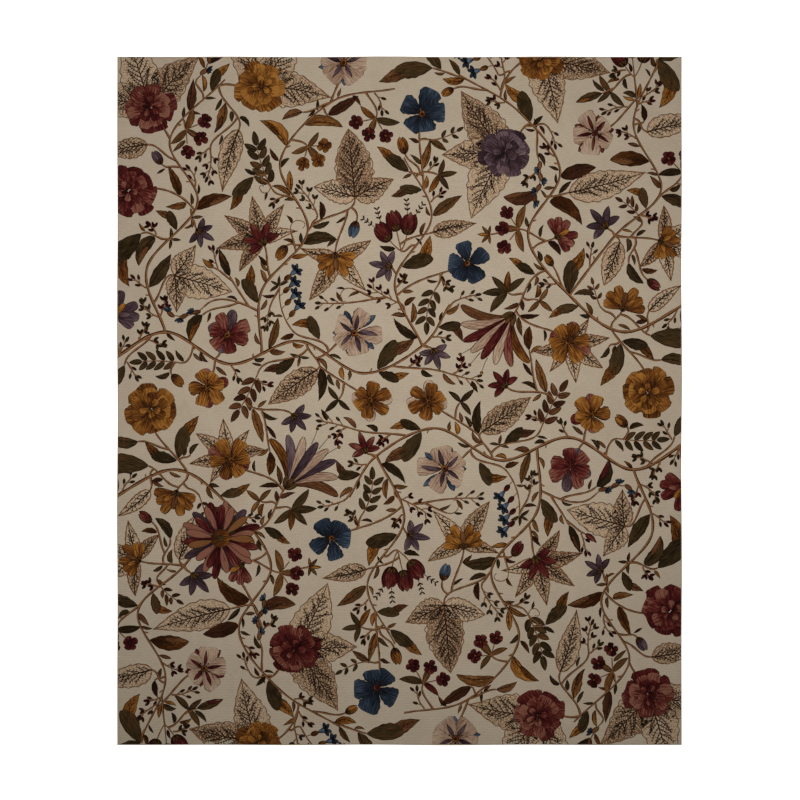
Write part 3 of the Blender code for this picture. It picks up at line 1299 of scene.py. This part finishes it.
resting = add(lay_group, "ShaderNodeVectorMath", {0: ray.outputs["Hit Position"], 1: lifted}, operation="ADD")
laid = add(lay_group, "GeometryNodeSetPosition", {"Geometry": cut, "Position": resting})
lay_group.links.new(laid.outputs[0], lay_out.inputs["Geometry"])
print("laying group:", len(lay_group.nodes), "nodes")

# %% [markdown]
# One tree makes every patch. It sets a small grid on each point and realizes it, and then works out
# where each grid point belongs from the numbers of its patch: a share along the arc, and a share
# across the width there. The rule is a table of maths, one row for each node.
# The rim is sunk into the ground pile, so no gap shows under it. Large patches get a finer grid.

# %% The tree for patches
# Cells along and across of the small and the large grid
GRIDS = {"small": (8, 4), "large": (18, 6)}
LARGE_FROM = 0.05
LEVEL_UNIT = 0.001
PATCH_RULE = (
    ("half_angle", "MULTIPLY", "bend", "along"),
    ("half_angle", "MULTIPLY", "half_angle", 0.5),
    ("chord", "SINE", "half_angle"),
    ("chord", "MULTIPLY", "chord", "twice_radius"),
    ("chord_heading", "ADD", "turn", "half_angle"),
    ("heading", "ADD", "chord_heading", "half_angle"),
    ("rest", "SUBTRACT", 1.0, "along"),
    ("rise", "POWER", "along", "base"),
    ("fall", "POWER", "rest", "tip"),
    ("half_width", "MULTIPLY", "rise", "fall"),
    ("half_width", "MULTIPLY", "half_width", "full"),
    ("ruffle", "MULTIPLY_ADD", "along", 25.0, "grain"),
    ("ruffle", "SINE", "ruffle"),
    ("ruffle", "MULTIPLY_ADD", "ruffle", "wave", 1.0),
    ("half_width", "MULTIPLY", "half_width", "ruffle"),
    ("side", "SIGN", "across"),
    ("side", "MULTIPLY_ADD", "side", "lean", 1.0),
    ("half_width", "MULTIPLY", "half_width", "side"),
    ("reach", "MULTIPLY", "half_width", "across"),
    ("cos_chord", "COSINE", "chord_heading"),
    ("sin_chord", "SINE", "chord_heading"),
    ("cos_here", "COSINE", "heading"),
    ("sin_here", "SINE", "heading"),
    ("x_here", "MULTIPLY_ADD", "chord", "cos_chord", "x"),
    ("y_here", "MULTIPLY_ADD", "chord", "sin_chord", "y"),
    ("back", "MULTIPLY", "reach", -1.0),
    ("x_here", "MULTIPLY_ADD", "back", "sin_here", "x_here"),
    ("y_here", "MULTIPLY_ADD", "reach", "cos_here", "y_here"),
    ("from_middle", "ABSOLUTE", "across"),
    ("to_rim", "SUBTRACT", 1.0, "from_middle"),
    ("edge", "MULTIPLY", "to_rim", "half_width"),
    ("nearest", "MINIMUM", "to_rim", "along"),
    ("nearest", "MINIMUM", "nearest", "rest"),
    ("inside", "GREATER_THAN", "nearest", 0.0005),
    ("high", "MULTIPLY_ADD", "level", LEVEL_UNIT, SINK),
    ("lift", "MULTIPLY", "high", "inside"),
    ("lift", "SUBTRACT", "lift", SINK),
    ("along_metres", "MULTIPLY", "along", "length"),
)
NUMBERS = (
    "x", "y", "turn", "bend", "twice_radius", "base", "tip",
    "full", "wave", "lean", "level", "length", "grain",
)
STORE = "GeometryNodeStoreNamedAttribute"

patch_tree, patch_in, patch_out = new_tree(
    "Patches of dyed pile",
    "GeometryNodeTree",
    [
        ("Geometry", "NodeSocketGeometry", None),
        ("Ground", "NodeSocketObject", None),
        ("Large from", "NodeSocketFloat", LARGE_FROM),
        ("Material", "NodeSocketMaterial", None),
    ],
    [("Geometry", "NodeSocketGeometry", None)],
)


joined = add(patch_tree, "GeometryNodeJoinGeometry")
known = {
    name: add(patch_tree, "GeometryNodeInputNamedAttribute", {"Name": name}, data_type="FLOAT")
    for name in NUMBERS + ("along", "across")
}
is_large = add(
    patch_tree,
    "FunctionNodeCompare",
    {0: known["length"], 1: patch_in.outputs["Large from"]},
    operation="GREATER_EQUAL",
)
is_small = add(patch_tree, "FunctionNodeBooleanMath", {0: is_large}, operation="NOT")
for chosen, (rows, columns) in zip((is_small, is_large), GRIDS.values()):
    grid = add(
        patch_tree,
        "GeometryNodeMeshGrid",
        {"Size X": 1.0, "Size Y": 1.0, "Vertices X": rows + 1, "Vertices Y": columns + 1},
    )
    shares = add(patch_tree, "ShaderNodeSeparateXYZ", {0: grid.outputs["UV Map"]})
    # Stretched so that the outermost cells are narrow, and clamped to the range
    stretch = 0.96 * rows / (rows - 2)
    along = add(
        patch_tree,
        MATH,
        {0: shares.outputs[0], 1: stretch, 2: 0.5 - stretch / 2},
        operation="MULTIPLY_ADD",
        use_clamp=True,
    )
    stretch = 1.82 * columns / (columns - 2)
    wide = add(
        patch_tree,
        MATH,
        {0: shares.outputs[1], 1: stretch, 2: -stretch / 2},
        operation="MULTIPLY_ADD",
    )
    across = add(patch_tree, "ShaderNodeClamp", {0: wide, 1: -1.0, 2: 1.0})
    blank = grid
    for name, share in (("along", along), ("across", across)):
        blank = add(patch_tree, STORE, {"Geometry": blank, "Name": name, "Value": share})
    copies = add(
        patch_tree,
        "GeometryNodeInstanceOnPoints",
        {"Points": patch_in.outputs["Geometry"], "Selection": chosen, "Instance": blank},
    )
    patch_tree.links.new(copies.outputs[0], joined.inputs[0])
realized = add(patch_tree, "GeometryNodeRealizeInstances", {0: joined})
run_rule(patch_tree, PATCH_RULE, known)
weave = add(patch_tree, "ShaderNodeCombineXYZ", {0: known["reach"], 1: known["along_metres"], 2: 0.0})
feeds = {"Geometry": realized, "Name": "weave", "Value": weave}
shaped = add(patch_tree, STORE, feeds, domain="CORNER", data_type="FLOAT2")
for name in ("edge", "lift"):
    shaped = add(patch_tree, STORE, {"Geometry": shaped, "Name": name, "Value": known[name]})
where = add(patch_tree, "ShaderNodeCombineXYZ", {0: known["x_here"], 1: known["y_here"], 2: 0.0})
shaped = add(patch_tree, "GeometryNodeSetPosition", {"Geometry": shaped, "Position": where})
lift = add(patch_tree, "GeometryNodeInputNamedAttribute", {"Name": "lift"}, data_type="FLOAT")
laid = add(
    patch_tree,
    "GeometryNodeGroup",
    {"Geometry": shaped, "Ground": patch_in.outputs["Ground"], "Lift": lift},
    node_tree=lay_group,
)
closed = add(patch_tree, "GeometryNodeMergeByDistance", {"Geometry": laid, "Distance": 0.00001})
smooth = add(patch_tree, "GeometryNodeSetShadeSmooth", {"Geometry": closed})
feeds = {"Geometry": smooth, "Material": patch_in.outputs["Material"]}
dyed = add(patch_tree, "GeometryNodeSetMaterial", feeds)
patch_tree.links.new(dyed.outputs[0], patch_out.inputs["Geometry"])
print("patch tree:", len(patch_tree.nodes), "nodes")

# %% [markdown]
# The second tree makes ribbons: stems, veins and threads. Each line becomes a curve, and a flat
# profile two units wide is swept along it, scaled to half the line's thickness at each point. The
# rim height says what share of its level a ribbon's rim keeps: less than none for a stem, so that it
# rises out of the ground, and all of it for a vein, which lies on a leaf. The same group lays it on
# the sheet.

# %% The tree for ribbons
CROWN_HEIGHT = 0.0002

ribbon_tree, ribbon_in, ribbon_out = new_tree(
    "Ribbons of dyed pile",
    "GeometryNodeTree",
    [
        ("Geometry", "NodeSocketGeometry", None),
        ("Ground", "NodeSocketObject", None),
        ("Points across", "NodeSocketInt", 5),
        ("Smoothing", "NodeSocketInt", 1),
        ("Rim height", "NodeSocketFloat", 0.0),
        ("Material", "NodeSocketMaterial", None),
    ],
    [("Geometry", "NodeSocketGeometry", None)],
)
of_line = {
    name: add(ribbon_tree, "GeometryNodeInputNamedAttribute", {"Name": name}, data_type="FLOAT")
    for name in ("thick", "level", "across", "along")
}
radius = add(ribbon_tree, MATH, {0: of_line["thick"], 1: 0.5}, operation="MULTIPLY")
curve = add(ribbon_tree, "GeometryNodeMeshToCurve", {0: ribbon_in.outputs["Geometry"]})
curve = add(ribbon_tree, "GeometryNodeCurveSplineType", {"Curve": curve}, spline_type="CATMULL_ROM")
feeds = {0: curve, "Resolution": ribbon_in.outputs["Smoothing"]}
curve = add(ribbon_tree, "GeometryNodeSetSplineResolution", feeds)
curve = add(ribbon_tree, "GeometryNodeSetCurveNormal", {"Curve": curve}, mode="Z_UP")
run = add(ribbon_tree, "GeometryNodeSplineParameter")
curve = add(ribbon_tree, STORE, {"Geometry": curve, "Name": "along", "Value": run.outputs["Length"]})
feeds = {"Start": (-1.0, 0.0, 0.0), "End": (1.0, 0.0, 0.0)}
profile = add(ribbon_tree, "GeometryNodeCurvePrimitiveLine", feeds)
feeds = {"Curve": profile, "Count": ribbon_in.outputs["Points across"]}
profile = add(ribbon_tree, "GeometryNodeResampleCurve", feeds)
side = add(ribbon_tree, "ShaderNodeSeparateXYZ", {0: add(ribbon_tree, "GeometryNodeInputPosition")})
profile = add(ribbon_tree, STORE, {"Geometry": profile, "Name": "across", "Value": side.outputs[0]})
feeds = {"Curve": curve, "Profile Curve": profile, "Scale": radius}
swept = add(ribbon_tree, "GeometryNodeCurveToMesh", feeds)
RIBBON_RULE = (
    ("square", "MULTIPLY", "across", "across"),
    ("crown", "SUBTRACT", 1.0, "square"),
    ("level_metres", "MULTIPLY", "level", LEVEL_UNIT),
    ("inside", "GREATER_THAN", "crown", 0.01),
    ("arched", "MULTIPLY_ADD", "crown", CROWN_HEIGHT, "level_metres"),
    ("rim_metres", "MULTIPLY", "level_metres", "rim_height"),
    ("above_rim", "SUBTRACT", "arched", "rim_metres"),
    ("lift", "MULTIPLY_ADD", "above_rim", "inside", "rim_metres"),
    ("reach", "MULTIPLY", "across", "thick"),
    ("reach", "MULTIPLY", "reach", 0.5),
)
of_line["rim_height"] = ribbon_in.outputs["Rim height"]
run_rule(ribbon_tree, RIBBON_RULE, of_line)
weave = add(ribbon_tree, "ShaderNodeCombineXYZ", {0: of_line["reach"], 1: of_line["along"], 2: 0.0})
feeds = {"Geometry": swept, "Name": "weave", "Value": weave}
swept = add(ribbon_tree, STORE, feeds, domain="CORNER", data_type="FLOAT2")
laid = add(
    ribbon_tree,
    "GeometryNodeGroup",
    {"Geometry": swept, "Ground": ribbon_in.outputs["Ground"], "Lift": of_line["lift"]},
    node_tree=lay_group,
)
solid = add(ribbon_tree, "GeometryNodeRealizeInstances", {0: laid})
smooth = add(ribbon_tree, "GeometryNodeSetShadeSmooth", {"Geometry": solid})
feeds = {"Geometry": smooth, "Material": ribbon_in.outputs["Material"]}
dyed = add(ribbon_tree, "GeometryNodeSetMaterial", feeds)
ribbon_tree.links.new(dyed.outputs[0], ribbon_out.inputs["Geometry"])
print("ribbon tree:", len(ribbon_tree.nodes), "nodes")

# %% [markdown]
# The dyes. A village dyer has madder root for reds, indigo for blues, weld over walnut for golds and
# olives, and walnut husk alone for browns; aubergine is madder over indigo. Each piece of wool is
# drawn from a ramp from the deepest bath to the palest. A patch says where on the ramp it starts,
# its yarn streaks run lengthwise, its tip is paler than its base, and its rim is one dark line of
# outline knots.

# %% Dyed wool for the patches
STREAK_WIDTH = 0.0042
OUTLINE_WIDTH = (0.0018, 0.0048)

DYES = {
    # ramp from dark to pale, outline, streak strength, streak length, base to tip
    "leaf": (("1a1106", "2a1f0f", "3d2d18", "553216", "7c5128"), "190c05", 0.7, 0.045, 0.10),
    "lace": (("583c28", "8f7458", "a68d72", "ac967c"), "6a452c", 2.2, 0.008, 0.0),
    "madder": (("180606", "2b0a09", "421312", "55241d", "774d3d"), "160505", 0.9, 0.045, 0.45),
    "gold": (("2a1305", "45250d", "6b3f16", "91612a"), "1d0b03", 1.0, 0.045, 0.5),
    "indigo": (("0c0d11", "1a1f28", "2d3743", "505d6c"), "0b0a0d", 0.8, 0.045, 0.5),
    "aubergine": (("190e10", "2d1f22", "443338", "675354"), "170b0c", 0.8, 0.045, 0.4),
    "ivory": (("5f3f2e", "8a6f5b", "a48e78"), "3a1512", 1.2, 0.045, 0.5),
    "husk": (("1d0d06", "3d2112", "6b4527"), "180a04", 0.7, 0.045, 0.2),
}


def dye_material(dye, ramp, outline, streaks, streak_length, to_tip):
    """The wool of one dye, from its row in the table."""
    tree, finish = wool_material(dye + "_dyed_wool_pile")
    named = {
        name: add(tree, "ShaderNodeAttribute", attribute_name=name).outputs["Fac"]
        for name in ("shade", "edge", "across", "along", "grain")
    }
    weave = add(tree, "ShaderNodeAttribute", attribute_name="weave").outputs["Vector"]
    shift = add(tree, "ShaderNodeCombineXYZ", {0: named["grain"], 1: named["grain"], 2: 0.0})
    yarn = add(
        tree,
        "ShaderNodeMapping",
        {0: weave, "Location": shift, "Scale": (1 / STREAK_WIDTH, 1 / streak_length, 1.0)},
    )
    named["streak"] = add(tree, "ShaderNodeTexNoise", {"Vector": yarn, "Scale": 1.0, "Detail": 2.0})
    rule = (
        ("centred", "SUBTRACT", "streak", 0.5),
        ("tone", "MULTIPLY_ADD", "centred", streaks * 2, "shade"),
        ("tip_light", "SUBTRACT", "along", 0.45),
        ("tone", "MULTIPLY_ADD", "tip_light", to_tip, "tone"),
        ("tone", "MULTIPLY_ADD", "across", -0.07, "tone"),
    )
    run_rule(tree, rule, named)
    colours = add(tree, "ShaderNodeValToRGB", {0: named["tone"]})
    stops = colours.color_ramp.elements
    while len(stops) < len(ramp):
        stops.new(0.5)
    for i, hex_colour in enumerate(ramp):
        stops[i].position = i / (len(ramp) - 1)
        stops[i].color = linear(hex_colour)
    rim = add(tree, "ShaderNodeMapRange", {0: named["edge"], 1: OUTLINE_WIDTH[0], 2: OUTLINE_WIDTH[1]})
    dyed = add(tree, "ShaderNodeMix", {0: rim, 6: linear(outline), 7: colours}, data_type="RGBA")
    return finish(dyed.outputs[2])


dye_wool = {dye: dye_material(dye, *row) for dye, row in DYES.items()}
print("dyes:", ", ".join(dye_wool))

# %% [markdown]
# Stems are copper brown with a dark outline and a lengthwise streak. The outline is drawn heavier
# on one side, a painted shadow along the stem.
# Veins and ribs are plain walnut, thin as a single row of knots.

# %% Dyed wool for the ribbons
YARNS = {
    # light part, outline and painted shadow, points across, rim height
    "stem": ("805533", "28140a", 5, -0.4),
    "vein": ("25150d", "1c0f08", 3, 1.0),
    "rib": ("231208", "1a0c05", 3, 1.0),
}


def yarn_material(yarn, light, dark):
    """A ribbon's wool, light in the middle, dark at the rims and with painted shadow on one side."""
    tree, finish = wool_material(yarn + "_dyed_wool_pile")
    weave = add(tree, "ShaderNodeAttribute", attribute_name="weave").outputs["Vector"]
    yarn_run = add(tree, "ShaderNodeMapping", {0: weave, "Scale": (220.0, 40.0, 1.0)})
    known = {
        "across": add(tree, "ShaderNodeAttribute", attribute_name="across").outputs["Fac"],
        "streak": add(tree, "ShaderNodeTexNoise", {"Vector": yarn_run, "Scale": 1.0, "Detail": 2.0}),
    }
    rule = (
        # The middle is set off centre, so one dark rim is wider: a painted shadow beside the stem.
        ("from_middle", "MULTIPLY_ADD", "across", 1.0, -0.22),
        ("from_middle", "ABSOLUTE", "from_middle"),
        ("rough", "MULTIPLY_ADD", "streak", 0.9, "from_middle"),
    )
    run_rule(tree, rule, known)
    outline_and_shadow = add(tree, "ShaderNodeMapRange", {0: known["rough"], 1: 0.58, 2: 1.05})
    mixed = add(tree, "ShaderNodeMix", {0: outline_and_shadow, 6: linear(light), 7: linear(dark)}, data_type="RGBA")
    return finish(mixed.outputs[2])


yarn_wool = {yarn: yarn_material(yarn, row[0], row[1]) for yarn, row in YARNS.items()}
print("yarns:", ", ".join(yarn_wool))

# %% [markdown]
# Each dye becomes one piece: its patches are written as the points of a mesh, with their numbers as
# attributes, the tree turns them into pile, and the result is copied out as a plain mesh.

# %% Make the pieces
def run_tree(name, mesh, tree, values):
    """Run a tree on a mesh, and return the result as an object with a plain mesh."""
    source = bpy.data.objects.new(name + "_source", mesh)
    bpy.context.scene.collection.objects.link(source)
    modifier = source.modifiers.new(name, "NODES")
    modifier.node_group = tree
    sockets = {item.name: item.identifier for item in tree.interface.items_tree if item.in_out == "INPUT"}
    for label, value in values.items():
        modifier[sockets[label]] = value
    seen = source.evaluated_get(bpy.context.evaluated_depsgraph_get())
    made = bpy.data.objects.new(name, bpy.data.meshes.new_from_object(seen))
    bpy.data.objects.remove(source)
    bpy.context.scene.collection.objects.link(made)
    return made


def points_with(name, points, edges, numbers):
    """A mesh of points that carry named numbers."""
    mesh = bpy.data.meshes.new(name)
    mesh.from_pydata([(x, y, 0.0) for x, y in points], edges, [])
    for label, values in numbers.items():
        attribute = mesh.attributes.new(label, "FLOAT", "POINT")
        attribute.data.foreach_set("value", np.asarray(values, dtype=np.float32))
    return mesh


def patch_points(dye):
    """The dye's patches as points, with what the tree needs worked out from their numbers."""
    rows = [row[1:] for row in sewn.patches if row[0] == dye]
    numbers = dict(zip(PATCH_COLUMNS, np.array(rows).T))
    bend = numbers["bend"]
    numbers["bend"] = np.where(abs(bend) < 0.001, 0.001, bend)
    numbers["twice_radius"] = 2 * numbers["length"] / numbers["bend"]
    numbers["full"] = numbers["width"] / 2 / peak_value(numbers["base"], numbers["tip"])
    numbers["grain"] = np.arange(len(rows)) * 0.73
    return points_with(dye, np.array(rows)[:, :2], [], numbers)


def line_points(yarn):
    """The yarn's lines as chains of edges, with the thickness at each point."""
    points, edges, thick, level = [], [], [], []
    for kind, line, start, end, high in sewn.lines:
        if kind == yarn:
            first = len(points)
            points.extend(line)
            edges.extend((first + i, first + i + 1) for i in range(len(line) - 1))
            knobs = 0.14 * np.sin(2.3 * np.arange(len(line)) + first) if yarn == "stem" else 0.0
            thick.extend(np.linspace(start, end, len(line)) * (1 + knobs))
            level.extend([high] * len(line))
    return points_with(yarn, points, edges, {"thick": thick, "level": level})


PIECES = {
    # dye or yarn, then the piece's name and its slot in the record
    "leaf": ("plain_leaves", "leaf_wool"),
    "lace": ("lace_leaves", "ground_wool"),
    "madder": ("madder_petals", "madder_wool"),
    "gold": ("gold_petals", "gold_wool"),
    "indigo": ("indigo_petals", "indigo_wool"),
    "aubergine": ("aubergine_petals", "aubergine_wool"),
    "ivory": ("ivory_petals", "ground_wool"),
    "husk": ("husk_buds", "vein_wool"),
    "stem": ("stems", "stem_wool"),
    "vein": ("lace_veins", "vein_wool"),
    "rib": ("leaf_ribs", "vein_wool"),
}
for wool, (name, slot) in PIECES.items():
    if wool in DYES:
        values = {"Ground": ground, "Large from": LARGE_FROM, "Material": dye_wool[wool]}
        piece = run_tree(name, patch_points(wool), patch_tree, values)
    else:
        values = {
            "Ground": ground,
            "Points across": YARNS[wool][2],
            "Smoothing": 3 if wool == "stem" else 1,
            "Rim height": YARNS[wool][3],
            "Material": yarn_wool[wool],
        }
        piece = run_tree(name, line_points(wool), ribbon_tree, values)
    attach(piece, "root")
    faces = piece.data.polygons
    print(name, len(faces), "faces,", sum(len(f.vertices) - 2 for f in faces), "triangles")

# %% [markdown]
# The photo is a plain product shot: a white floor, soft light from above, and the rug a little
# darker towards its sides and its near end. One large softbox over the far half gives that falloff,
# and an even pale world fills the rest. The floor glows faintly, so that it stays white all over.

# %% Floor and light
FLOOR_SIZE = 16.0
FLOOR_LEVEL = -0.0006
FLOOR_COLOUR = "f4f3f1"
FLOOR_GLOW = 1.0
SOFTBOX_SIZE = 1.2
SOFTBOX_PLACE = (0.0, 0.5, 3.35)
SOFTBOX_WATTS = 113.0
FILL_STRENGTH = 0.14

floor_mesh = bpy.data.meshes.new("floor")
half = FLOOR_SIZE / 2
floor_corners = [(x, y, FLOOR_LEVEL) for x, y in ((-half, -half), (half, -half), (half, half), (-half, half))]
floor_mesh.from_pydata(floor_corners, [], [(0, 1, 2, 3)])
floor = bpy.data.objects.new("floor", floor_mesh)
bpy.context.scene.collection.objects.link(floor)
floor_paint = bpy.data.materials.new("white_studio_floor")
floor_paint.use_nodes = True
floor_shader = floor_paint.node_tree.nodes["Principled BSDF"]
floor_shader.inputs["Roughness"].default_value = 0.9
floor_shader.inputs["Emission Strength"].default_value = FLOOR_GLOW
for label in ("Base Color", "Emission Color"):
    floor_shader.inputs[label].default_value = linear(FLOOR_COLOUR)
floor_mesh.materials.append(floor_paint)

softbox_data = bpy.data.lights.new("softbox", "AREA")
softbox_data.shape = "SQUARE"
softbox_data.size = SOFTBOX_SIZE
softbox_data.energy = SOFTBOX_WATTS
softbox = bpy.data.objects.new("softbox", softbox_data)
softbox.location = SOFTBOX_PLACE
softbox.visible_camera = False
bpy.context.scene.collection.objects.link(softbox)

world = bpy.data.worlds.new("even_fill")
world.use_nodes = True
backdrop = world.node_tree.nodes["Background"]
backdrop.inputs["Color"].default_value = (1.0, 1.0, 1.0, 1.0)
# The camera itself sees plain white, and the wool the weak fill
to_camera = add(world.node_tree, "ShaderNodeLightPath")
feeds = {0: to_camera.outputs["Is Camera Ray"], 3: FILL_STRENGTH, 4: 1.0}
strength = add(world.node_tree, "ShaderNodeMapRange", feeds)
world.node_tree.links.new(strength.outputs[0], backdrop.inputs["Strength"])
bpy.context.scene.world = world
bpy.context.scene.view_settings.view_transform = "Standard"
print("floor", FLOOR_SIZE, "m wide; softbox", SOFTBOX_WATTS, "W")
